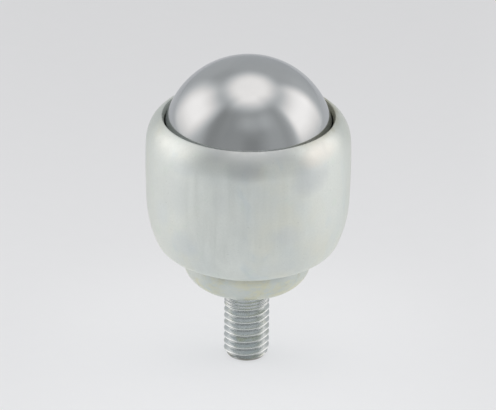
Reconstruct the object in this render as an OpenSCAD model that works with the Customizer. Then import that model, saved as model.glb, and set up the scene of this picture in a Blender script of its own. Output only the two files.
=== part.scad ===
// Ball transfer unit with a threaded stud, pressed steel pattern.
// The origin is the centre of the flat seat under the base cup, on the stud's axis.
// +Z runs up through the load ball and the stud points down along -Z.
// Everything but the bolt head is a body of revolution about Z.

/* [Load ball] */
// Diameter of the load ball
ball_d = 30; // [29.8:0.1:30.1]
// Height of the ball's centre above the seat
ball_h = 27.3; // [27.1:0.1:27.6]

/* [Outer shell] */
// Outside diameter of the shell's barrel
shell_d = 35.8; // [35.8:0.1:36.2]
// Sheet thickness of the shell
shell_t = 1.2; // [1:0.05:1.25]
// Outside radius of the rounded shoulder that closes over the ball
shoulder_r = 5.4; // [5.2:0.1:5.6]
// Height of the shoulder's centre above the seat
shoulder_h = 27.4; // [27.3:0.05:27.6]
// Radius of the mouth's lower corner, which keeps the ball in
mouth_r = 14.65; // [14.62:0.01:14.75]
// Radius of the mouth's upper corner, so the sheet's cut edge slopes outwards
mouth_top_r = 15.1; // [15:0.05:15.2]
// Radius that breaks the upper corner
mouth_edge_r = 0.2; // [0.1:0.05:0.3]
// Radius of the long arc that draws the barrel in below its middle
tuck_r = 23.5; // [23:0.5:25]
// Height where that arc starts
tuck_h = 18.1; // [18:0.1:18.5]
// Angle of the long arc
tuck_deg = 23; // [21:0.5:24]
// Radius of the bend into the closing cone
bend_r = 3.3; // [3.2:0.1:3.6]
// Slope of the closing cone, from level
cone_deg = 28.5; // [28:0.5:30]
// Radius of the hole that the cone leaves round the base cup's neck
shell_hole_r = 11.35; // [11.3:0.05:11.6]

/* [Base cup] */
// Outside radius of the cup's neck
neck_r = 11.25; // [11.1:0.05:11.25]
// Outside radius of the round corner under the neck
cup_corner_r = 4.8; // [4.6:0.1:5.2]
// Sheet thickness of the cup
cup_t = 1.4; // [1.2:0.1:1.5]
// Outside radius of the cup's upper wall, which carries the race
cup_wall_r = 15.02; // [14.9:0.02:15.04]
// Slack between the cup and the shell that is closed over it
seam_gap = 0.02; // [0.01:0.01:0.05]

/* [Race and support balls] */
// Diameter of the support balls
support_d = 3.175; // [3.15:0.005:3.2]
// Running gap between the support balls and each of their two tracks
run_gap = 0.0425; // [0.03:0.0025:0.05]
// Gap left between neighbouring support balls
ball_gap = 0.04; // [0.03:0.01:0.06]
// Rings of support balls round the one at the bottom
support_rows = 5; // [3:1:5]
// Wall thickness of the race bowl
race_t = 1.2; // [1.1:0.1:1.3]
// Height of the race bowl's rim above the seat
race_rim_h = 18; // [17.8:0.1:18.1]
// Outside radius of the land that centres the race in the shell
race_land_r = 16.6; // [16.5:0.02:16.6]

/* [Stud bolt] */
// Nominal thread diameter
stud_d = 8; // [7.8:0.1:8]
// Length of the thread below the seat
stud_len = 14; // [12:1:30]
// Height of the lead chamfer at the thread's end
stud_chamfer = 1; // [0.8:0.1:1.2]
// Width of the hexagon head across its flats
head_af = 13; // [12:0.5:13]
// Height of the head, washer face included
head_h = 5.3; // [4.8:0.1:5.5]
// Diameter of the washer face under the head
washer_face_d = 11.6; // [11.2:0.1:11.8]
// Height of the washer face
washer_face_h = 0.4; // [0.35:0.05:0.6]
// Radius of the plain collar that fills the hole in the cup's floor
collar_r = 4.28; // [4.25:0.01:4.4]

/* [Hidden] */
$fn = 96;

ball_r = ball_d / 2;
shell_r = shell_d / 2;
support_r = support_d / 2;

// centres of the shell's three outline arcs, as [radius, height]
shoulder_c = [shell_r - shoulder_r, shoulder_h];
tuck_c = [shell_r - tuck_r, tuck_h];
bend_c = tuck_c + (tuck_r - bend_r) * [cos(tuck_deg), -sin(tuck_deg)];
// where the bend runs into the cone, as an angle below level
bend_deg = 90 - cone_deg;

// race: the support balls' centres lie on a sphere of track_r round the ball's centre
track_r = ball_r + run_gap + support_r;
race_in_r = track_r + support_r + run_gap;
race_out_r = race_in_r + race_t;
row_step = 2 * asin((support_d + ball_gap + 0.02) / 2 / track_r);

wall_c = [cup_wall_r - (bend_r - shell_t - seam_gap), bend_c[1]];
cup_corner_c = [neck_r - cup_corner_r, cup_corner_r];
hole_r = collar_r + 0.02;

// a point at an angle below level on a circle round c
function below(c, r, a) = c + r * [cos(a), -sin(a)];
// where the line through p at the given slope meets the radius x
function on_cone(p, x) = [x, p[1] - (p[0] - x) * tan(cone_deg)];
// the point at radius x on the upper half of a circle round the shoulder's centre
function on_shoulder(r, x) = [x, shoulder_h + sqrt(r * r - pow(x - shoulder_c[0], 2))];

// the slice of a disc round c between two angles below level
module sector(c, r, a0, a1) {
    intersection() {
        translate(c) circle(r = r);
        polygon([c, below(c, 2 * r, a0), below(c, 2 * r, (a0 + a1) / 2), below(c, 2 * r, a1)]);
    }
}

// everything inside the shell's face, moved in by d
module shell_fill(d) {
    bend_end = below(bend_c, bend_r - d, bend_deg);
    difference() {
        union() {
            polygon([
                on_cone(bend_end, 0),
                bend_end,
                below(bend_c, bend_r - d, tuck_deg),
                [shell_r - d, tuck_h],
                [shell_r - d, shoulder_h],
                [shoulder_c[0], shoulder_h + shoulder_r - d],
                [0, shoulder_h + shoulder_r - d]
            ]);
            sector(shoulder_c, shoulder_r - d, -90, 0);
            sector(tuck_c, tuck_r - d, 0, tuck_deg);
            sector(bend_c, bend_r - d, tuck_deg, bend_deg);
        }
        translate([-60, -5]) square([60, 60]);
    }
}

// one drawn and rolled sheet: shoulder and mouth over the ball, barrel, tuck and closing cone
module outer_shell() {
    // the cut edge runs from the shoulder's inner face up to its outer one
    low = on_shoulder(shoulder_r - shell_t, mouth_r);
    up = (on_shoulder(shoulder_r, mouth_top_r) - low) / norm(on_shoulder(shoulder_r, mouth_top_r) - low);
    out = [up[1], -up[0]];
    // centre of the edge radius, which touches the cut edge and the shoulder's face
    w = low + mouth_edge_r * out - shoulder_c;
    edge_c = shoulder_c + w + up * (sqrt(pow(w * up, 2) - w * w + pow(shoulder_r - mouth_edge_r, 2)) - w * up);
    to_face = (edge_c - shoulder_c) / norm(edge_c - shoulder_c);
    color([0.80, 0.83, 0.80]) rotate_extrude() difference() {
        shell_fill(0);
        shell_fill(shell_t);
        translate([0, -5]) square([shell_hole_r, shoulder_h + 5]);
        polygon([[0, low[1] - 3 * up[1]], low - 3 * up, low + 5 * up, [0, low[1] + 5 * up[1]]]);
        // the sharp corner above the edge radius
        difference() {
            polygon([edge_c, edge_c - out, edge_c - out + to_face, edge_c + to_face]);
            translate(edge_c) circle(r = mouth_edge_r);
        }
    }
}

// neck, round corner and floor, moved in by d
module cup_foot(d) {
    difference() {
        union() {
            polygon([[0, d], [cup_corner_c[0], d], [neck_r - d, cup_corner_r], [neck_r - d, 8.6], [0, 8.6]]);
            sector(cup_corner_c, cup_corner_r - d, 0, 90);
        }
        translate([-20, -5]) square([20, 30]);
    }
}

// the flange that lies in the shell's cone, and the wall above it, moved in by d
module cup_top(d) {
    bend_end = below(wall_c, cup_wall_r - wall_c[0] - d, bend_deg);
    union() {
        polygon([on_cone(bend_end, 0), bend_end, [cup_wall_r - d, wall_c[1]], [cup_wall_r - d, 18], [0, 18]]);
        sector(wall_c, cup_wall_r - wall_c[0] - d, 0, bend_deg);
    }
}

// one drawn cup: flat seat with the stud's hole, neck, flange and the wall that carries the race
module base_cup() {
    color([0.76, 0.79, 0.75]) difference() {
        rotate_extrude() difference() {
            union() { cup_foot(0); cup_top(0); }
            union() { cup_foot(cup_t); cup_top(cup_t); }
            // the race bowl rests in the wall's spherical end
            translate([0, ball_h]) circle(r = race_out_r + 0.01);
            translate([0, 17]) square([20, 5]);
        }
        translate([0, 0, -1]) cylinder(h = cup_t + 2, r = hole_r);
    }
}

// hardened bowl: a spherical track inside, a spherical seat and a centring land outside
module race_bowl() {
    color([0.55, 0.55, 0.56]) rotate_extrude() intersection() {
        difference() {
            translate([0, ball_h]) circle(r = race_out_r);
            translate([0, ball_h]) circle(r = race_in_r);
        }
        square([race_land_r, race_rim_h]);
    }
}

module main_ball() {
    color([0.72, 0.73, 0.75]) translate([0, 0, ball_h]) sphere(r = ball_r);
}

// a full complement of loose balls in rings, one at the bottom and the rest in even rings above it
module support_balls() {
    color([0.70, 0.71, 0.73]) translate([0, 0, ball_h]) for (k = [0 : support_rows]) {
        ring_r = track_r * sin(k * row_step);
        count = k == 0 ? 1 : floor(180 / asin((support_d + ball_gap) / 2 / ring_r));
        for (i = [0 : count - 1]) {
            a = (i + 0.5 * (k % 2)) * 360 / count;
            translate([ring_r * cos(a), ring_r * sin(a), -track_r * cos(k * row_step)])
                sphere(r = support_r, $fn = 32);
        }
    }
}

// hexagon head bolt, its head inside the cup; the thread's form is left plain at its outer diameter
module stud_bolt() {
    color([0.74, 0.77, 0.76]) union() {
        // hexagon with its top corners turned off at 30 degrees
        intersection() {
            translate([0, 0, cup_t + washer_face_h])
                cylinder(h = head_h - washer_face_h, r = head_af / sqrt(3), $fn = 6);
            translate([0, 0, cup_t])
                cylinder(h = head_h, r1 = 0.475 * head_af + head_h / tan(30), r2 = 0.475 * head_af);
        }
        translate([0, 0, cup_t]) cylinder(h = washer_face_h, r = washer_face_d / 2);
        // plain collar that fills the hole in the cup's floor, with a short cone down to the thread
        translate([0, 0, 0.4]) cylinder(h = cup_t - 0.4, r = collar_r);
        cylinder(h = 0.4, r1 = stud_d / 2, r2 = collar_r);
        translate([0, 0, -(stud_len - stud_chamfer)]) cylinder(h = stud_len - stud_chamfer, r = stud_d / 2);
        translate([0, 0, -stud_len])
            cylinder(h = stud_chamfer, r1 = stud_d / 2 - stud_chamfer * 0.75, r2 = stud_d / 2);
    }
}

outer_shell();
base_cup();
race_bowl();
main_ball();
support_balls();
stud_bolt();
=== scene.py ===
import math

import bmesh
import bpy
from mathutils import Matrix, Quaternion, Vector


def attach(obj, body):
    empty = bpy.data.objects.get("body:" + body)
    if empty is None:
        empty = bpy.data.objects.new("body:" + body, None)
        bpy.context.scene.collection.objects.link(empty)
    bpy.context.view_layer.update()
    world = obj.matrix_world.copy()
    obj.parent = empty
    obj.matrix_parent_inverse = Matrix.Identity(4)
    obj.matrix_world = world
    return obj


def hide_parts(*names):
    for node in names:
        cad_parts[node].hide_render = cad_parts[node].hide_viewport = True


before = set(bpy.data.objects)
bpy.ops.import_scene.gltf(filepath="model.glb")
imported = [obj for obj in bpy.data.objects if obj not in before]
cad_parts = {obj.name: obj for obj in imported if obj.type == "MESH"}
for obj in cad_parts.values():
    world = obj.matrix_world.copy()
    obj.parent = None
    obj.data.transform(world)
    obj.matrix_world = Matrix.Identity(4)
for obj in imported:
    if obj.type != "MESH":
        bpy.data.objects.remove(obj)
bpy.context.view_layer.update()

MM = 0.001
scene = bpy.context.scene
scene.view_settings.view_transform = "Standard"

# ---------------------------------------------------------------- profile numbers, in mm, as the CAD states them
BALL_R, BALL_H = 15.0, 27.3
SHELL_R, SHELL_T = 17.9, 1.2
SHOULDER_R, SHOULDER_H = 5.4, 27.4
MOUTH_R, MOUTH_TOP_R, MOUTH_EDGE_R = 14.65, 15.1, 0.2
TUCK_R, TUCK_H, TUCK_DEG = 23.5, 18.1, 23.0
BEND_R, CONE_DEG, SHELL_HOLE_R = 3.3, 28.5, 11.35
NECK_R, CUP_CORNER_R, CUP_T, CUP_WALL_R = 11.25, 4.8, 1.4, 15.02
RACE_OUT_R = 19.46
STUD_R, PITCH, STUD_LEN, CHAMFER = 4.0, 1.25, 14.0, 1.0
COLLAR_R, HEAD_AF, HEAD_H, WASHER_R, WASHER_H = 4.28, 13.0, 5.3, 5.8, 0.4
IN = 0.004        # the skins stay this far inside the exact faces, so no chord of the CAD mesh is crossed


def cosd(a):
    return math.cos(math.radians(a))


def sind(a):
    return math.sin(math.radians(a))


def arc(c, r, a0, a1, n):
    """n + 1 points on a circle round c, from angle a0 to a1 above level."""
    return [(c[0] + r * cosd(a0 + (a1 - a0) * i / n), c[1] + r * sind(a0 + (a1 - a0) * i / n)) for i in range(n + 1)]


def line(p, q, n):
    """The inner points of the line from p to q, cut into n stretches."""
    return [(p[0] + (q[0] - p[0]) * i / n, p[1] + (q[1] - p[1]) * i / n) for i in range(1, n)]


def breaks(p, corner, q, r, n=3):
    """A small round of about r that replaces the corner between p and q."""
    def unit(a, b):
        d = math.hypot(b[0] - a[0], b[1] - a[1])
        return (b[0] - a[0]) / d, (b[1] - a[1]) / d
    u, v = unit(corner, p), unit(corner, q)
    a = (corner[0] + u[0] * r, corner[1] + u[1] * r)
    b = (corner[0] + v[0] * r, corner[1] + v[1] * r)
    out = []
    for i in range(n + 1):
        t = i / n
        out.append(tuple((1 - t) ** 2 * a[k] + 2 * t * (1 - t) * corner[k] + t * t * b[k] for k in (0, 1)))
    return out


def new_object(name, bm, body, material, smooth_deg=32.0):
    bmesh.ops.recalc_face_normals(bm, faces=bm.faces)
    mesh = bpy.data.meshes.new(name)
    bm.to_mesh(mesh)
    bm.free()
    for p in mesh.polygons:
        p.use_smooth = True
    mesh.set_sharp_from_angle(angle=math.radians(smooth_deg))
    o = bpy.data.objects.new(name, mesh)
    scene.collection.objects.link(o)
    mesh.materials.append(material)
    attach(o, body)
    return o


def lathe(bm, outline, steps):
    """Turns a closed outline of (radius, height) in mm round Z into one skin."""
    rings = []
    for r, z in outline:
        rings.append([bm.verts.new((r * MM * math.cos(2 * math.pi * i / steps), r * MM * math.sin(2 * math.pi * i / steps), z * MM))
                      for i in range(steps)])
    n = len(rings)
    for k in range(n):
        a, b = rings[k], rings[(k + 1) % n]
        for i in range(steps):
            j = (i + 1) % steps
            bm.faces.new((a[i], a[j], b[j], b[i]))


def quad_ball(bm, centre, radius, n):
    seen = {}
    for axis in range(3):
        for side in (-1, 1):
            grid = {}
            for i in range(n + 1):
                for j in range(n + 1):
                    p = [0.0, 0.0, 0.0]
                    p[axis], p[(axis + 1) % 3], p[(axis + 2) % 3] = side, math.tan((i / n - 0.5) * math.pi / 2), math.tan((j / n - 0.5) * math.pi / 2)
                    v = Vector(p).normalized()
                    key = (round(v.x, 5), round(v.y, 5), round(v.z, 5))
                    if key not in seen:
                        seen[key] = bm.verts.new((v * radius + Vector(centre)) * MM)
                    grid[i, j] = seen[key]
            for i in range(n):
                for j in range(n):
                    bm.faces.new((grid[i, j], grid[i + 1, j], grid[i + 1, j + 1], grid[i, j + 1]))


# ---------------------------------------------------------------- node helpers
def material(name):
    m = bpy.data.materials.new(name)
    m.use_nodes = True
    t = m.node_tree
    t.nodes.clear()
    out = t.nodes.new("ShaderNodeOutputMaterial")
    b = t.nodes.new("ShaderNodeBsdfPrincipled")
    t.links.new(b.outputs["BSDF"], out.inputs["Surface"])
    return m, t, b


def put(t, socket, value):
    if isinstance(value, bpy.types.NodeSocket):
        t.links.new(value, socket)
    else:
        socket.default_value = value


def coords(t, scale=(1, 1, 1)):
    c = t.nodes.new("ShaderNodeTexCoord")
    if tuple(scale) == (1, 1, 1):
        return c.outputs["Object"]
    m = t.nodes.new("ShaderNodeMapping")
    m.inputs["Scale"].default_value = scale
    t.links.new(c.outputs["Object"], m.inputs["Vector"])
    return m.outputs["Vector"]


def noise(t, scale, detail=2.0, rough=0.5, stretch=(1, 1, 1), distort=0.0):
    n = t.nodes.new("ShaderNodeTexNoise")
    t.links.new(coords(t, stretch), n.inputs["Vector"])
    n.inputs["Scale"].default_value = scale
    n.inputs["Detail"].default_value = detail
    n.inputs["Roughness"].default_value = rough
    n.inputs["Distortion"].default_value = distort
    return n.outputs["Fac"]


def span(t, value, a, b, c, d, smooth=False):
    n = t.nodes.new("ShaderNodeMapRange")
    n.interpolation_type = "SMOOTHSTEP" if smooth else "LINEAR"
    n.clamp = True
    put(t, n.inputs["Value"], value)
    for k, v in (("From Min", a), ("From Max", b), ("To Min", c), ("To Max", d)):
        n.inputs[k].default_value = v
    return n.outputs["Result"]


def mix(t, fac, a, b):
    n = t.nodes.new("ShaderNodeMix")
    n.data_type = "RGBA"
    put(t, n.inputs[0], fac)
    for k, v in ((6, a), (7, b)):
        put(t, n.inputs[k], v if isinstance(v, bpy.types.NodeSocket) else (*v, 1.0))
    return n.outputs[2]


def math_node(t, op, a, b=0.0):
    n = t.nodes.new("ShaderNodeMath")
    n.operation = op
    put(t, n.inputs[0], a)
    put(t, n.inputs[1], b)
    return n.outputs[0]


def bump(t, b, layers):
    """Stacks height layers, each (height socket, strength, distance in metres), onto the shader's normal."""
    last = None
    for height, strength, distance in layers:
        n = t.nodes.new("ShaderNodeBump")
        n.inputs["Strength"].default_value = strength
        n.inputs["Distance"].default_value = distance
        t.links.new(height, n.inputs["Height"])
        if last is not None:
            t.links.new(last, n.inputs["Normal"])
        last = n.outputs["Normal"]
    t.links.new(last, b.inputs["Normal"])


def height_z(t):
    s = t.nodes.new("ShaderNodeSeparateXYZ")
    t.links.new(coords(t), s.inputs[0])
    return s.outputs["Z"]


def radius_xy(t):
    s = t.nodes.new("ShaderNodeSeparateXYZ")
    t.links.new(coords(t), s.inputs[0])
    sq = math_node(t, "ADD", math_node(t, "MULTIPLY", s.outputs["X"], s.outputs["X"]),
                   math_node(t, "MULTIPLY", s.outputs["Y"], s.outputs["Y"]))
    return math_node(t, "SQRT", sq)


# ---------------------------------------------------------------- materials
def zinc_base(name, rough_lo, rough_hi, colour_of, streak=1.0):
    """Pressed sheet, zinc plated, with a clear passivation; colour_of gives the plating's colour."""
    m, t, b = material(name)
    b.inputs["Metallic"].default_value = 1.0
    # a clear sealer over the plating lifts the reflections at the sides
    b.inputs["Coat Weight"].default_value = 0.50
    b.inputs["Coat Roughness"].default_value = 0.34
    b.inputs["Coat IOR"].default_value = 1.5
    # the passivation film looks a little yellower at a low angle
    b.inputs["Specular Tint"].default_value = (1.0, 0.995, 0.945, 1.0)
    # turning marks run round the part, so its highlights draw out up and down
    b.inputs["Anisotropic"].default_value = 0.88
    b.inputs["Anisotropic Rotation"].default_value = 0.25
    turned = t.nodes.new("ShaderNodeTangent")
    turned.direction_type = "RADIAL"
    turned.axis = "Z"
    t.links.new(turned.outputs["Tangent"], b.inputs["Tangent"])
    c = colour_of(t)
    # fine plated grain, a little darker in its hollows, and sparse pits
    grain = noise(t, 2600, 3, 0.65)
    c = mix(t, span(t, grain, 0.35, 0.62, 0.12, 0.0), c, (0.50, 0.53, 0.51))
    pits = span(t, noise(t, 1500, 1, 0.5), 0.735, 0.80, 0.0, 0.22, True)
    c = mix(t, pits, c, (0.40, 0.42, 0.40))
    t.links.new(c, b.inputs["Base Color"])
    # drawing marks run up the pressed wall
    draw = noise(t, 1, 4, 0.6, stretch=(950, 950, 34))
    cloud = noise(t, 260, 3, 0.6)
    r = math_node(t, "ADD", math_node(t, "MULTIPLY", draw, 0.45 * streak),
                  math_node(t, "ADD", math_node(t, "MULTIPLY", grain, 0.30), math_node(t, "MULTIPLY", cloud, 0.25)))
    t.links.new(span(t, r, 0.32, 0.68, rough_lo, rough_hi), b.inputs["Roughness"])
    bump(t, b, [(noise(t, 120, 2, 0.5), 0.22, 0.00006), (noise(t, 420, 3, 0.6), 0.12, 0.00003),
                (draw, 0.10 * streak, 0.00003), (grain, 0.18, 0.00001)])
    return m


def shell_colour(t):
    cloud = span(t, noise(t, 55, 3, 0.55, distort=0.6), 0.36, 0.66, 0.0, 1.0, True)
    c = mix(t, cloud, (0.765, 0.800, 0.762), (0.735, 0.780, 0.757))
    # broad faint yellow, and smaller bluish and greenish patches
    warm = span(t, noise(t, 70, 3, 0.6, stretch=(1, 1, 0.7)), 0.50, 0.72, 0.0, 0.8, True)
    c = mix(t, warm, c, (0.785, 0.797, 0.705))
    cool = span(t, noise(t, 190, 3, 0.6, stretch=(1, 1, 0.5), distort=0.5), 0.54, 0.74, 0.0, 0.75, True)
    c = mix(t, cool, c, (0.672, 0.740, 0.752))
    green = span(t, noise(t, 330, 2, 0.6), 0.58, 0.74, 0.0, 0.45, True)
    c = mix(t, green, c, (0.715, 0.788, 0.722))
    # grime, and painted shade of the gap beside the ball, on the cut edge round the mouth
    s = t.nodes.new("ShaderNodeSeparateXYZ")
    t.links.new(coords(t), s.inputs[0])
    upper = span(t, s.outputs["Z"], 28.0 * MM, 29.6 * MM, 0.0, 1.0)
    rim = math_node(t, "MULTIPLY", span(t, radius_xy(t), 15.02 * MM, 15.20 * MM, 1.0, 0.0, True), upper)
    # the grime and painted shade are heavier on one side, where the gap beside the ball is wider
    gap_shade_side = span(t, s.outputs["X"], -13.0 * MM, 11.0 * MM, 0.0, 1.0, True)
    grime_and_gap_shade = math_node(t, "MULTIPLY", span(t, noise(t, 480, 3, 0.6), 0.30, 0.70, 0.75, 1.0),
                      span(t, gap_shade_side, 0.0, 1.0, 0.18, 0.80))
    # less of it at the front
    grime_and_gap_shade = math_node(t, "MULTIPLY", grime_and_gap_shade, span(t, s.outputs["Y"], -14.2 * MM, -8.5 * MM, 0.15, 1.0, True))
    c = mix(t, math_node(t, "MULTIPLY", rim, grime_and_gap_shade), c, (0.235, 0.215, 0.155))
    # grime and painted shade reach a little over the lip on that side
    lip_grime_and_shade = math_node(t, "MULTIPLY", span(t, radius_xy(t), 15.15 * MM, 16.3 * MM, 1.0, 0.0, True),
                      span(t, s.outputs["X"], 5.0 * MM, 14.0 * MM, 0.0, 0.75, True))
    lip_grime_and_shade = math_node(t, "MULTIPLY", math_node(t, "MULTIPLY", lip_grime_and_shade, upper), span(t, noise(t, 300, 3, 0.6), 0.36, 0.60, 0.35, 1.0))
    c = mix(t, lip_grime_and_shade, c, (0.52, 0.51, 0.40))
    # a painted darker reflection on the lip at the front
    front = span(t, s.outputs["Y"], -9.0 * MM, -7.0 * MM, 1.0, 0.0)
    lip_painted_reflection = math_node(t, "MULTIPLY", span(t, math_node(t, "ABSOLUTE", s.outputs["X"]), 5.0 * MM, 9.5 * MM, 0.88, 0.0, True),
                     span(t, s.outputs["Z"], 29.7 * MM, 31.8 * MM, 0.0, 1.0, True))
    c = mix(t, math_node(t, "MULTIPLY", lip_painted_reflection, front), c, (0.545, 0.575, 0.580))
    # stains of the passivation, each at (x, z) in mm with its half width and half height; the first two are painted
    # dark reflections on the shoulder, and the warm one at (11.9, 30.2) is a stain darkened further as painted shade
    # over the shoulder's highlight
    ragged = span(t, noise(t, 420, 3, 0.6), 0.28, 0.72, -0.22, 0.22)
    for x, z, w, h, strength, tone in (
            (-0.5, 29.4, 3.6, 2.3, 0.66, (0.560, 0.590, 0.600)),
            (10.6, 26.7, 3.4, 3.1, 0.66, (0.600, 0.635, 0.642)), (-11.2, 28.2, 2.6, 1.5, 0.50, (0.660, 0.700, 0.700)),
            (11.9, 30.2, 3.2, 1.9, 0.75, (0.715, 0.700, 0.650)), (-10.6, 13.6, 2.2, 3.0, 0.50, (0.655, 0.715, 0.750)),
            (-14.7, 17.8, 1.8, 2.8, 0.35, (0.665, 0.720, 0.750)), (5.4, 10.2, 3.4, 1.8, 0.30, (0.670, 0.725, 0.750)),
            (-4.9, 23.0, 1.6, 2.6, 0.45, (0.680, 0.715, 0.700)), (6.8, 16.9, 3.0, 2.0, 0.50, (0.680, 0.720, 0.725)),
            (-12.8, 23.0, 3.0, 4.6, 0.60, (0.670, 0.705, 0.690))):
        dx = math_node(t, "MULTIPLY", math_node(t, "SUBTRACT", s.outputs["X"], x * MM), 1 / (w * MM))
        dz = math_node(t, "MULTIPLY", math_node(t, "SUBTRACT", s.outputs["Z"], z * MM), 1 / (h * MM))
        near = math_node(t, "ADD", math_node(t, "ADD", math_node(t, "MULTIPLY", dx, dx), math_node(t, "MULTIPLY", dz, dz)), ragged)
        c = mix(t, math_node(t, "MULTIPLY", span(t, near, -0.15, 1.45, strength, 0.0, True), front), c, tone)
    return c


def cup_colour(t):
    cloud = span(t, noise(t, 120, 3, 0.6, distort=0.5), 0.38, 0.64, 0.0, 1.0, True)
    c = mix(t, cloud, (0.680, 0.718, 0.678), (0.640, 0.688, 0.656))
    # passivation stains that the last dip left round the foot, drawn out level
    warm = span(t, noise(t, 150, 4, 0.65, stretch=(1, 1, 2.0), distort=0.4), 0.46, 0.63, 0.0, 1.0, True)
    c = mix(t, warm, c, (0.712, 0.716, 0.560))
    olive = span(t, noise(t, 340, 3, 0.6, stretch=(1, 1, 1.8)), 0.56, 0.72, 0.0, 0.7, True)
    c = mix(t, olive, c, (0.560, 0.560, 0.430))
    cool = span(t, noise(t, 420, 3, 0.6, stretch=(1, 1, 1.6), distort=0.4), 0.54, 0.70, 0.0, 0.8, True)
    c = mix(t, cool, c, (0.620, 0.688, 0.668))
    # painted shade in a darker line where the shell's edge closes on the neck, strongest at the front
    s = t.nodes.new("ShaderNodeSeparateXYZ")
    t.links.new(coords(t), s.inputs[0])
    neck_painted_shade = math_node(t, "MULTIPLY", span(t, s.outputs["Z"], 4.2 * MM, 5.6 * MM, 0.0, 0.40, True),
                      span(t, s.outputs["Y"], -10.8 * MM, -8.0 * MM, 1.0, 0.35, True))
    return mix(t, neck_painted_shade, c, (0.40, 0.42, 0.395))


ZINC_SHELL = zinc_base("zinc_shell", 0.33, 0.49, shell_colour)
ZINC_CUP = zinc_base("zinc_cup", 0.36, 0.50, cup_colour, 0.5)


def stud_zinc():
    m, t, b = material("zinc_stud")
    b.inputs["Metallic"].default_value = 1.0
    grain = noise(t, 3200, 3, 0.6)
    c = mix(t, span(t, noise(t, 160, 3, 0.55), 0.38, 0.64, 0.0, 1.0, True), (0.640, 0.670, 0.672), (0.585, 0.625, 0.632))
    # faint green and brown bath stains, drawn out round the thread
    stain = span(t, noise(t, 420, 3, 0.6, stretch=(1, 1, 2.2), distort=0.4), 0.52, 0.70, 0.0, 0.85, True)
    c = mix(t, stain, c, (0.560, 0.590, 0.510))
    # painted shade: one side is darker
    side = t.nodes.new("ShaderNodeSeparateXYZ")
    t.links.new(coords(t), side.inputs[0])
    side_painted_shade = math_node(t, "MULTIPLY", span(t, side.outputs["X"], 0.6 * MM, 3.2 * MM, 0.0, 0.42, True),
                    span(t, noise(t, 300, 3, 0.6), 0.36, 0.62, 0.6, 1.0))
    c = mix(t, side_painted_shade, c, (0.455, 0.480, 0.465))
    # painted highlight on the crests, which are burnished, and painted shade at the bottom of the root
    crest = span(t, radius_xy(t), 3.86 * MM, 3.97 * MM, 0.0, 0.70, True)
    c = mix(t, crest, c, (0.790, 0.810, 0.800))
    root = span(t, radius_xy(t), 3.27 * MM, 3.45 * MM, 0.55, 0.0, True)
    c = mix(t, root, c, (0.40, 0.42, 0.42))
    s = t.nodes.new("ShaderNodeSeparateXYZ")
    t.links.new(coords(t), s.inputs[0])
    # painted shade where the thread runs out under the cup
    runout_painted_shade = math_node(t, "MULTIPLY", span(t, s.outputs["Z"], -4.3 * MM, -3.3 * MM, 0.0, 0.70, True),
                     span(t, math_node(t, "ABSOLUTE", s.outputs["X"]), 1.4 * MM, 2.6 * MM, 0.15, 1.0, True))
    c = mix(t, runout_painted_shade, c, (0.420, 0.440, 0.440))
    # painted shade round the sheared end
    scale = math_node(t, "MULTIPLY", span(t, s.outputs["Z"], -13.75 * MM, -13.15 * MM, 1.0, 0.0, True),
                      span(t, noise(t, 330, 3, 0.6), 0.34, 0.62, 0.35, 1.0))
    c = mix(t, scale, c, (0.215, 0.205, 0.165))
    t.links.new(c, b.inputs["Base Color"])
    t.links.new(span(t, grain, 0.32, 0.68, 0.17, 0.30), b.inputs["Roughness"])
    bump(t, b, [(noise(t, 900, 2, 0.5), 0.16, 0.00002), (grain, 0.10, 0.00001)])
    return m


def ball_steel(name, base, dark, rough_lo, rough_hi, scratch):
    m, t, b = material(name)
    b.inputs["Metallic"].default_value = 1.0
    # bare steel reflects less near its rim
    b.inputs["Specular Tint"].default_value = (0.85, 0.86, 0.88, 1.0)
    haze = noise(t, 90, 3, 0.55, distort=0.4)
    c = mix(t, span(t, haze, 0.38, 0.66, 0.0, 1.0, True), base, dark)
    t.links.new(c, b.inputs["Base Color"])
    fine = noise(t, 5200, 2, 0.6)
    t.links.new(span(t, math_node(t, "ADD", math_node(t, "MULTIPLY", haze, 0.6), math_node(t, "MULTIPLY", fine, 0.4)),
                     0.35, 0.68, rough_lo, rough_hi), b.inputs["Roughness"])
    # hairline running marks in two directions
    la = span(t, noise(t, 1, 2, 0.5, stretch=(2400, 70, 160)), 0.66, 0.70, 0.0, 1.0)
    lb = span(t, noise(t, 1, 2, 0.5, stretch=(110, 2600, 60)), 0.67, 0.71, 0.0, 1.0)
    lines = math_node(t, "MAXIMUM", la, lb)
    bump(t, b, [(fine, 0.10, 0.000006), (lines, scratch, 0.000006)])
    return m


def race_steel():
    m, t, b = material("race_steel_dark")
    b.inputs["Metallic"].default_value = 1.0
    tint = noise(t, 140, 3, 0.6)
    t.links.new(mix(t, span(t, tint, 0.36, 0.66, 0.0, 1.0, True), (0.46, 0.455, 0.45), (0.34, 0.345, 0.36)), b.inputs["Base Color"])
    ring = noise(t, 1, 3, 0.6, stretch=(30, 30, 2600))
    t.links.new(span(t, ring, 0.3, 0.7, 0.22, 0.42), b.inputs["Roughness"])
    bump(t, b, [(ring, 0.12, 0.00001), (noise(t, 2200, 2, 0.6), 0.12, 0.00001)])
    return m


ZINC_STUD = stud_zinc()
BALL_STEEL = ball_steel("ball_steel", (0.545, 0.562, 0.566), (0.510, 0.528, 0.535), 0.10, 0.16, 0.08)
SMALL_STEEL = ball_steel("small_ball_steel", (0.66, 0.665, 0.68), (0.60, 0.61, 0.63), 0.08, 0.16, 0.05)
RACE_STEEL = race_steel()

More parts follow.
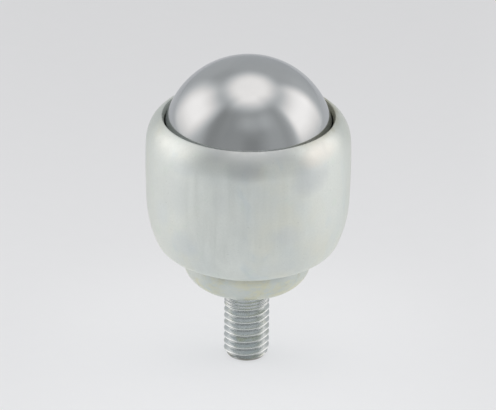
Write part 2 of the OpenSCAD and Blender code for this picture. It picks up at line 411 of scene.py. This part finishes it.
# ---------------------------------------------------------------- outer shell
STEPS = 192
shoulder_c = (SHELL_R - SHOULDER_R, SHOULDER_H)
tuck_c = (SHELL_R - TUCK_R, TUCK_H)
bend_c = (tuck_c[0] + (TUCK_R - BEND_R) * cosd(TUCK_DEG), tuck_c[1] - (TUCK_R - BEND_R) * sind(TUCK_DEG))
bend_deg = 90 - CONE_DEG
slope = math.tan(math.radians(CONE_DEG))


def on_shoulder(r, x):
    return x, SHOULDER_H + math.sqrt(r * r - (x - shoulder_c[0]) ** 2)


def eased(pts):
    """Draws the outer face in by up to 0.12 mm, so the barrel runs softly into the shoulder above and the tuck below."""
    def swell(z, a, peak, b, depth):
        u = (z - a) / (peak - a) if (z - peak) * (a - peak) > 0 else (b - z) / (b - peak)
        return depth * math.sin(math.pi / 2 * min(max(u, 0.0), 1.0)) ** 2
    return [(r - swell(z, 24.8, 28.8, 31.8, 0.11) - swell(z, 11.0, 17.5, 23.0, 0.12), z) for r, z in pts]


def shell_outline():
    ro, ri = SHOULDER_R - IN, SHOULDER_R - SHELL_T
    low = on_shoulder(ri, MOUTH_R)
    top = on_shoulder(SHOULDER_R, MOUTH_TOP_R)
    d = math.hypot(top[0] - low[0], top[1] - low[1])
    up = ((top[0] - low[0]) / d, (top[1] - low[1]) / d)
    out = (up[1], -up[0])
    e = MOUTH_EDGE_R
    w = (low[0] + e * out[0] - shoulder_c[0], low[1] + e * out[1] - shoulder_c[1])
    wu = w[0] * up[0] + w[1] * up[1]
    k = math.sqrt(wu * wu - (w[0] ** 2 + w[1] ** 2) + (SHOULDER_R - e) ** 2) - wu
    edge_c = (shoulder_c[0] + w[0] + up[0] * k, shoulder_c[1] + w[1] + up[1] * k)
    a_cut = math.degrees(math.atan2(-out[1], -out[0])) % 360
    a_face = math.degrees(math.atan2(edge_c[1] - shoulder_c[1], edge_c[0] - shoulder_c[0]))
    pts = arc(edge_c, e - IN, a_cut, a_face, 7)
    pts += arc(shoulder_c, ro, a_face, 0, 30)[1:]
    pts += line((SHELL_R - IN, SHOULDER_H), (SHELL_R - IN, TUCK_H), 16)
    pts += arc(tuck_c, TUCK_R - IN, 0, -TUCK_DEG, 22)
    pts += arc(bend_c, BEND_R - IN, -TUCK_DEG, -bend_deg, 14)[1:]
    pts = eased(pts)
    end = pts[-1]
    tip = (SHELL_HOLE_R, end[1] - (end[0] - SHELL_HOLE_R) * slope)
    inner_end = (bend_c[0] + (BEND_R - SHELL_T) * cosd(bend_deg), bend_c[1] - (BEND_R - SHELL_T) * sind(bend_deg))
    tip_in = (SHELL_HOLE_R, inner_end[1] - (inner_end[0] - SHELL_HOLE_R) * slope)
    pts += line(end, tip, 5)
    pts += breaks(end, tip, tip_in, 0.18, 4)
    pts += line(pts[-1], tip_in, 4)
    pts += [tip_in]
    pts += line(tip_in, inner_end, 4)
    pts += arc(bend_c, BEND_R - SHELL_T, -bend_deg, -TUCK_DEG, 8)
    pts += arc(tuck_c, TUCK_R - SHELL_T, -TUCK_DEG, 0, 12)[1:]
    pts += line((SHELL_R - SHELL_T, TUCK_H), (SHELL_R - SHELL_T, SHOULDER_H), 6)
    a_low = math.degrees(math.atan2(low[1] - shoulder_c[1], low[0] - shoulder_c[0]))
    inner = arc(shoulder_c, ri, 0, a_low, 16)
    pts += inner[:-1]
    first = pts[0]
    pts += breaks(inner[-2], low, first, 0.08, 3)
    pts += line(pts[-1], first, 5)
    return pts


bm = bmesh.new()
lathe(bm, shell_outline(), STEPS)
shell = new_object("shell_skin", bm, "housing", ZINC_SHELL)
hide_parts("outer_shell")

# ---------------------------------------------------------------- base cup
wall_r = BEND_R - SHELL_T - 0.02
wall_c = (CUP_WALL_R - wall_r, bend_c[1])
corner_c = (NECK_R - CUP_CORNER_R, CUP_CORNER_R)


def cup_outline():
    sphere = RACE_OUT_R + 0.012

    def seat_z(r):
        return BALL_H - math.sqrt(sphere ** 2 - r ** 2)
    r_out, r_in = CUP_WALL_R - IN, CUP_WALL_R - CUP_T
    top_o, top_i = (r_out, seat_z(r_out)), (r_in, seat_z(r_in))
    pts = breaks(top_i, top_o, (r_out, 12), 0.08, 2)
    pts += line(pts[-1], (r_out, wall_c[1]), 5)
    pts += arc(wall_c, wall_r - IN, 0, -bend_deg, 10)
    end = pts[-1]
    join = (NECK_R - IN, end[1] - (end[0] - NECK_R + IN) * slope)
    pts += line(end, join, 4)
    pts += breaks(end, join, (NECK_R - IN, 5), 0.12, 3)
    pts += line(pts[-1], (NECK_R - IN, CUP_CORNER_R), 5)
    pts += arc(corner_c, CUP_CORNER_R - IN, 0, -90, 26)
    # the flat seat and the hole's broken edges
    hole = COLLAR_R + 0.02
    a, b = (hole, IN), (hole, CUP_T - IN)
    pts += line(pts[-1], a, 5)
    pts += breaks(pts[-1], a, b, 0.12, 3)
    pts += line(pts[-1], b, 3)
    pts += breaks((hole, 1.0), b, (corner_c[0], CUP_T - IN), 0.05, 2)
    pts += line(pts[-1], (corner_c[0], CUP_T), 3)
    pts += arc(corner_c, CUP_CORNER_R - CUP_T, -90, 0, 14)
    in_end = (wall_c[0] + (wall_r - CUP_T) * cosd(bend_deg), wall_c[1] - (wall_r - CUP_T) * sind(bend_deg))
    neck_in = NECK_R - CUP_T
    join_in = (neck_in, in_end[1] - (in_end[0] - neck_in) * slope)
    pts += line(pts[-1], join_in, 4)
    pts += breaks((neck_in, 5), join_in, in_end, 0.4, 4)
    pts += line(pts[-1], in_end, 4)
    pts += arc(wall_c, wall_r - CUP_T, -bend_deg, 0, 6)
    pts += line(pts[-1], top_i, 5)
    pts += [top_i]
    last = top_i
    for i in range(1, 4):
        r = r_in + (r_out - 0.09 - r_in) * i / 4
        pts.append((r, seat_z(r)))
    return pts


bm = bmesh.new()
lathe(bm, cup_outline(), STEPS)
cup = new_object("cup_skin", bm, "housing", ZINC_CUP)
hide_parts("base_cup")

# ---------------------------------------------------------------- load ball: a quad ball, with no poles to pinch the reflections
bm = bmesh.new()
quad_ball(bm, (0, 0, BALL_H), BALL_R - IN, 64)
ball = new_object("ball_skin", bm, "load_ball", BALL_STEEL, 60)
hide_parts("main_ball")

# ---------------------------------------------------------------- stud: a real right-hand M8 x 1.25 helix, cut from z = 0.3 down to the end
ROOT_R = STUD_R - 0.6134 * PITCH


def thread_shape():
    """(share of a pitch, radius) down one turn: crest, flank, rounded root, flank."""
    crest, root = 0.125 / 2, 0.25 / 2
    pts = [(-crest, STUD_R - 0.03), (-crest * 0.62, STUD_R - 0.009), (-crest * 0.25, STUD_R - IN), (0.0, STUD_R - IN),
           (crest * 0.25, STUD_R - IN), (crest * 0.62, STUD_R - 0.009), (crest, STUD_R - 0.03)]
    a, b = crest, 0.5 - root * 0.62
    for i in range(1, 6):
        s = i / 6
        pts.append((a + (b - a) * s, STUD_R - 0.03 + (ROOT_R + 0.06 - STUD_R + 0.03) * s))
    pts += [(b, ROOT_R + 0.06), (0.5 - root * 0.25, ROOT_R + 0.012), (0.5, ROOT_R), (0.5 + root * 0.25, ROOT_R + 0.012), (1 - b, ROOT_R + 0.06)]
    for i in range(1, 6):
        s = i / 6
        pts.append((1 - b + (1 - a - 1 + b) * s, ROOT_R + 0.06 + (STUD_R - 0.03 - ROOT_R - 0.06) * s))
    return pts


def thread():
    bm = bmesh.new()
    shape = thread_shape()
    around = 120
    turns = 14
    z0 = -(STUD_LEN + 2.01)
    rows = []
    for turn in range(turns + 1):
        for s, r in shape:
            rows.append((turn + s, r))
    m = len(shape)
    grid = []
    for s, r in rows:
        row = []
        for i in range(around):
            a = 2 * math.pi * i / around
            z = z0 + PITCH * (s + i / around)
            rr = r
            # lead chamfer at the end, and the thread running out under the seat
            rr = min(rr, 3.25 + 0.75 * (z + STUD_LEN) / CHAMFER) if z < -STUD_LEN + CHAMFER else rr
            out = min(max((z + 4.35) / 0.9, 0.0), 1.0)
            out = out * out * (3 - 2 * out)
            # the last turns were rolled over twice: shallow rings at half the pitch
            rr = (1 - out) * rr + out * (STUD_R - 0.04 - 0.22 * (0.5 - 0.5 * math.cos(4 * math.pi * s)))
            row.append(bm.verts.new((rr * MM * math.cos(a), rr * MM * math.sin(a), z * MM)))
        grid.append(row)
    for k in range(len(grid) - 1):
        for i in range(around - 1):
            bm.faces.new((grid[k][i], grid[k][i + 1], grid[k + 1][i + 1], grid[k + 1][i]))
        if k + m + 1 < len(grid):
            i = around - 1
            bm.faces.new((grid[k][i], grid[k + m][0], grid[k + m + 1][0], grid[k + 1][i]))
    for cut, normal in ((-STUD_LEN + IN, -1), (0.0 + 0.2, 1)):
        geom = bm.verts[:] + bm.edges[:] + bm.faces[:]
        res = bmesh.ops.bisect_plane(bm, geom=geom, dist=1e-7, plane_co=(0, 0, cut * MM), plane_no=(0, 0, normal), clear_outer=True)
        edges = [e for e in res["geom_cut"] if isinstance(e, bmesh.types.BMEdge)]
        bmesh.ops.holes_fill(bm, edges=edges, sides=0)
    bmesh.ops.remove_doubles(bm, verts=bm.verts, dist=1.2e-6)
    bmesh.ops.dissolve_degenerate(bm, edges=bm.edges, dist=5e-7)
    return bm


bm = thread()
stud = new_object("stud_thread", bm, "housing", ZINC_STUD, 50)


def hex_head():
    """Collar, washer face and a hexagon head with its top corners turned off, all inside the cup."""
    bm = bmesh.new()
    around = 96
    flat = HEAD_AF / 2
    rings = []

    def ring(fn, z):
        row = []
        for i in range(around):
            a = 2 * math.pi * i / around
            r = fn(a)
            row.append(bm.verts.new((r * MM * math.cos(a), r * MM * math.sin(a), z * MM)))
        rings.append(row)

    def hexr(a):
        d = (a + math.pi / 6) % (math.pi / 3) - math.pi / 6
        # corners on +X, so the flats face 30 degrees off it
        d = (a % (math.pi / 3)) - math.pi / 6
        return min(flat / math.cos(d), flat / math.cos(math.pi / 6) - 0.06)

    z_top = CUP_T + HEAD_H
    ring(lambda a: 2.0, 0.25)
    ring(lambda a: 3.95, 0.25)
    ring(lambda a: COLLAR_R - IN, 0.45)
    ring(lambda a: COLLAR_R - IN, CUP_T)
    ring(lambda a: WASHER_R - 0.08, CUP_T + IN)
    ring(lambda a: WASHER_R - IN, CUP_T + 0.08)
    ring(lambda a: WASHER_R - IN, CUP_T + WASHER_H)
    ring(lambda a: hexr(a) - 0.12, CUP_T + WASHER_H + 0.004)
    ring(lambda a: hexr(a) - IN, CUP_T + WASHER_H + 0.12)
    cone0 = 0.475 * HEAD_AF
    for k in range(13):
        z = CUP_T + WASHER_H + 0.12 + (HEAD_H - WASHER_H - 0.12 - IN) * (k + 1) / 13
        limit = cone0 + (z_top - z) / math.tan(math.radians(30))
        ring(lambda a, limit=limit: min(hexr(a) - IN, limit - IN), z)
    ring(lambda a: cone0 * 0.6, z_top - IN)
    ring(lambda a: 0.6, z_top - IN)
    for k in range(len(rings) - 1):
        for i in range(around):
            j = (i + 1) % around
            bm.faces.new((rings[k][i], rings[k][j], rings[k + 1][j], rings[k + 1][i]))
    bm.faces.new(rings[0])
    bm.faces.new(rings[-1])
    return bm


head = new_object("stud_head", hex_head(), "housing", ZINC_STUD, 28)
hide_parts("stud_bolt")
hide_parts("stud_bolt")

# ---------------------------------------------------------------- race bowl: a spherical track inside and a spherical seat outside
TRACK_R = BALL_R + 0.0425 + 3.175 / 2
RACE_IN_R, LAND_R, RIM_H = TRACK_R + 3.175 / 2 + 0.0425, 16.6, 18.0


def turned_solid(bm, outline, steps):
    """Turns an outline that starts and ends on the axis into one closed skin."""
    rings = []
    for r, z in outline[1:-1]:
        rings.append([bm.verts.new((r * MM * math.cos(2 * math.pi * i / steps), r * MM * math.sin(2 * math.pi * i / steps), z * MM))
                      for i in range(steps)])
    for a, b in zip(rings, rings[1:]):
        for i in range(steps):
            j = (i + 1) % steps
            bm.faces.new((a[i], a[j], b[j], b[i]))
    for (r, z), ring in ((outline[0], rings[0]), (outline[-1], rings[-1])):
        tip = bm.verts.new((0.0, 0.0, z * MM))
        for i in range(steps):
            bm.faces.new((tip, ring[i], ring[(i + 1) % steps]))


def race_outline():
    def fall(r, x):
        return math.degrees(math.asin(x / r))
    c = (0.0, BALL_H)
    r_out, r_in = RACE_OUT_R - IN, RACE_IN_R + IN
    outer = arc(c, r_out, -90, -90 + fall(r_out, LAND_R - IN), 34)
    rim_in = math.sqrt(r_in ** 2 - (BALL_H - RIM_H) ** 2)
    inner = arc(c, r_in, -90 + fall(r_in, rim_in), -90, 44)
    pts = outer + line(outer[-1], (LAND_R - IN, RIM_H - IN), 3)
    pts += breaks(outer[-1], (LAND_R - IN, RIM_H - IN), (rim_in, RIM_H - IN), 0.10, 3)
    pts += breaks((LAND_R, RIM_H - IN), (rim_in, RIM_H - IN), inner[1], 0.08, 3)
    # the round ends a little way down the track, so the first point of the arc goes
    return pts + inner[1:]


bm = bmesh.new()
turned_solid(bm, race_outline(), STEPS)
race = new_object("race_skin", bm, "housing", RACE_STEEL)
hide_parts("race_bowl")

# ---------------------------------------------------------------- support balls: the same rings of loose balls as the CAD
SUPPORT_D, BALL_GAP, ROWS = 3.175, 0.04, 5


bm = bmesh.new()
row_step = 2 * math.asin((SUPPORT_D + BALL_GAP + 0.02) / 2 / TRACK_R)
for k in range(ROWS + 1):
    ring_r = TRACK_R * math.sin(k * row_step)
    count = 1 if k == 0 else math.floor(math.pi / math.asin((SUPPORT_D + BALL_GAP) / 2 / ring_r))
    for i in range(count):
        turn = (i + 0.5 * (k % 2)) * 2 * math.pi / count
        quad_ball(bm, (ring_r * math.cos(turn), ring_r * math.sin(turn), BALL_H - TRACK_R * math.cos(k * row_step)),
                  SUPPORT_D / 2 - IN, 12)
small = new_object("support_ball_skin", bm, "support_ball_set", SMALL_STEEL, 60)
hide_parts("support_balls")

# ---------------------------------------------------------------- floor: a pale lit table, a little brighter towards the front
bm = bmesh.new()
side, cells = 3.0, 24
verts = {}
for i in range(cells + 1):
    for j in range(cells + 1):
        verts[i, j] = bm.verts.new(((i / cells - 0.5) * side, (j / cells - 0.5) * side, -STUD_LEN * MM - 0.0001))
for i in range(cells):
    for j in range(cells):
        bm.faces.new((verts[i, j], verts[i + 1, j], verts[i + 1, j + 1], verts[i, j + 1]))
mesh = bpy.data.meshes.new("floor")
bm.to_mesh(mesh)
bm.free()
floor = bpy.data.objects.new("floor", mesh)
scene.collection.objects.link(floor)
fm, ft, fb = material("floor_table")
fb.inputs["Roughness"].default_value = 0.9
fb.inputs["Specular IOR Level"].default_value = 0.1
ft.links.new(mix(ft, noise(ft, 300, 2, 0.5), (0.345, 0.350, 0.355), (0.355, 0.360, 0.365)), fb.inputs["Base Color"])
fs = ft.nodes.new("ShaderNodeSeparateXYZ")
ft.links.new(coords(ft), fs.inputs[0])
fb.inputs["Emission Color"].default_value = (0.990, 1.0, 1.022, 1.0)
# brightest just in front of the unit, darker again where the table's front edge comes near, brighter out to the sides
glow = math_node(ft, "MULTIPLY", span(ft, fs.outputs["Y"], -0.22, 0.20, 0.614, 0.359, True),
                 span(ft, fs.outputs["Y"], -0.21, -0.065, 0.46, 1.0, True))
across = math_node(ft, "ABSOLUTE", fs.outputs["X"])
aside = math_node(ft, "ADD", math_node(ft, "MULTIPLY", span(ft, fs.outputs["X"], 0.040, 0.078, 0.0, 0.33, True),
                                        span(ft, fs.outputs["Y"], -0.04, 0.05, 0.25, 1.0, True)),
                  span(ft, fs.outputs["X"], -0.14, -0.040, 0.30, 0.0, True))
aside = math_node(ft, "MULTIPLY", aside, span(ft, across, 0.18, 0.50, 1.0, 0.0, True))
aside = math_node(ft, "MULTIPLY", aside, span(ft, fs.outputs["Y"], 0.05, 0.17, 1.0, 0.4, True))
# a brighter strip just in front of the picture's lower edge, which lights the barrel from below
strip = math_node(ft, "MULTIPLY", span(ft, fs.outputs["Y"], -0.155, -0.095, 0.0, 0.085, True), span(ft, fs.outputs["Y"], -0.052, -0.026, 1.0, 0.0, True))
glow = math_node(ft, "ADD", glow, strip)
# and a soft hot spot under the unit, which takes most of its shadow away
spot = span(ft, radius_xy(ft), 0.0, 0.055, 0.075, 0.0, True)
ft.links.new(math_node(ft, "ADD", math_node(ft, "MULTIPLY", glow, math_node(ft, "ADD", aside, 1.0)), spot),
             fb.inputs["Emission Strength"])
# seen from below, the table lets the view through to the unit's underside
back = ft.nodes.new("ShaderNodeNewGeometry")
clear = ft.nodes.new("ShaderNodeBsdfTransparent")
either = ft.nodes.new("ShaderNodeMixShader")
ft.links.new(back.outputs["Backfacing"], either.inputs[0])
ft.links.new(fb.outputs["BSDF"], either.inputs[1])
ft.links.new(clear.outputs["BSDF"], either.inputs[2])
ft.links.new(either.outputs[0], [n for n in ft.nodes if n.type == "OUTPUT_MATERIAL"][0].inputs["Surface"])
mesh.materials.append(fm)

# ---------------------------------------------------------------- light: a grey room with a large soft box on each side and one overhead
world = bpy.data.worlds.new("room")
scene.world = world
world.use_nodes = True
wt = world.node_tree
bg = wt.nodes["Background"]
wc = wt.nodes.new("ShaderNodeTexCoord")
ws = wt.nodes.new("ShaderNodeSeparateXYZ")
wt.links.new(wc.outputs["Generated"], ws.inputs[0])
# bearing round Z (0 towards the front, positive to the right) and height above level, in radians
BEARING = math_node(wt, "ARCTAN2", ws.outputs["X"], math_node(wt, "MULTIPLY", ws.outputs["Y"], -1.0))
HEIGHT = math_node(wt, "ARCSINE", ws.outputs["Z"])


def edge(value, a, b):
    """0 to 1 as value goes from a to b degrees, or the other way round if b is less than a."""
    if a < b:
        return span(wt, value, math.radians(a), math.radians(b), 0.0, 1.0, True)
    return span(wt, value, math.radians(b), math.radians(a), 1.0, 0.0, True)


def soft_box(power, bearing, height, lean=0.0):
    """A patch of light with soft edges: (outer, full, full, outer) limits in degrees, both ways."""
    out = power
    turned = BEARING
    if lean:
        turned = math_node(wt, "ADD", BEARING, math_node(wt, "MULTIPLY", HEIGHT, -lean))
    for value, (a, b, c, d) in ((turned, bearing), (HEIGHT, height)):
        if a is not None:
            out = math_node(wt, "MULTIPLY", edge(value, a, b), out)
        if d is not None:
            out = math_node(wt, "MULTIPLY", edge(value, d, c), out)
    return out


def overhead(power, towards, a, b):
    """A round soft light overhead, centred on a direction."""
    v = Vector(towards).normalized()
    n = wt.nodes.new("ShaderNodeVectorMath")
    n.operation = "DOT_PRODUCT"
    wt.links.new(wc.outputs["Generated"], n.inputs[0])
    n.inputs[1].default_value = v
    return math_node(wt, "MULTIPLY", edge(math_node(wt, "ARCSINE", n.outputs["Value"]), a, b), power)


def total(values):
    out = values[0]
    for v in values[1:]:
        out = math_node(wt, "ADD", out, v)
    return out


everywhere = (None, None, None, None)
room = total([
    soft_box(0.522, everywhere, (-90, -89, None, None)),
    # the darker front of the room
    soft_box(-0.150, (-74, -56, 52, 71), (None, None, 53, 66)),
    # side boxes
    soft_box(0.800, (-157, -122, -100, -71), (-19, 25, 31, 66), 0.30),
    soft_box(0.830, (66, 80, 118, 139), (-14, 25, 30, 64)),
    # a reflector behind the right side
    soft_box(0.060, (110, 126, 141, 155), (-12, -2, 24, 40)),
    # overhead box, a little to the back and the right
    overhead(0.665, (0.035, 0.14, 1.0), 54, 77),
    # faint reflectors and shadows in front
    soft_box(0.150, (-36, 0, 20, 56), (30, 45, 49, 62)),
    soft_box(0.100, (16, 36, 46, 62), (None, None, 50, 66)),
    soft_box(-0.045, (-68, -58, -52, -38), (None, None, 50, 60)),
    soft_box(-0.060, (-14, 1, 8, 21), (None, None, 20, 35)),
    soft_box(-0.040, (-174, -156, -132, -112), (30, 40, 46, 56)),
    soft_box(0.130, (-70, -42, 40, 66), (59, 69, 77, 86)),
])
# the camera sees a plain pale wall behind the table
path = wt.nodes.new("ShaderNodeLightPath")
seen_by_camera = wt.nodes.new("ShaderNodeMix")
seen_by_camera.data_type = "FLOAT"
wt.links.new(path.outputs["Is Camera Ray"], seen_by_camera.inputs[0])
wt.links.new(math_node(wt, "MULTIPLY", room, 1.15), seen_by_camera.inputs[2])
seen_by_camera.inputs[3].default_value = 0.62
wt.links.new(seen_by_camera.outputs[0], bg.inputs["Strength"])
# the boxes are a touch warmer than the room
wt.links.new(mix(wt, span(wt, room, 0.55, 1.10, 0.0, 1.0, True), (0.985, 1.0, 1.012), (1.048, 1.0, 0.982)), bg.inputs["Color"])

# ---------------------------------------------------------------- camera, at the photograph's angle
ELEV, DIST, PX_PER_MM, AXIS_H, ROLL = 25.42, 965.0, 5.728, 14.820, 0.62
cam_data = bpy.data.cameras.new("camera")
cam_data.sensor_width = 36.0
cam_data.lens = PX_PER_MM * DIST / 496 * 36.0
cam_data.clip_start, cam_data.clip_end = 0.05, 20.0
cam = bpy.data.objects.new("camera", cam_data)
scene.collection.objects.link(cam)
aim = Vector((0.03, 0, AXIS_H)) * MM
cam.location = aim + Vector((0, -cosd(ELEV), sind(ELEV))) * DIST * MM
# the picture was taken with the camera turned a little to the left about its own axis
cam.rotation_euler = ((aim - cam.location).to_track_quat("-Z", "Y") @ Quaternion((0, 0, 1), math.radians(ROLL))).to_euler()
scene.camera = cam
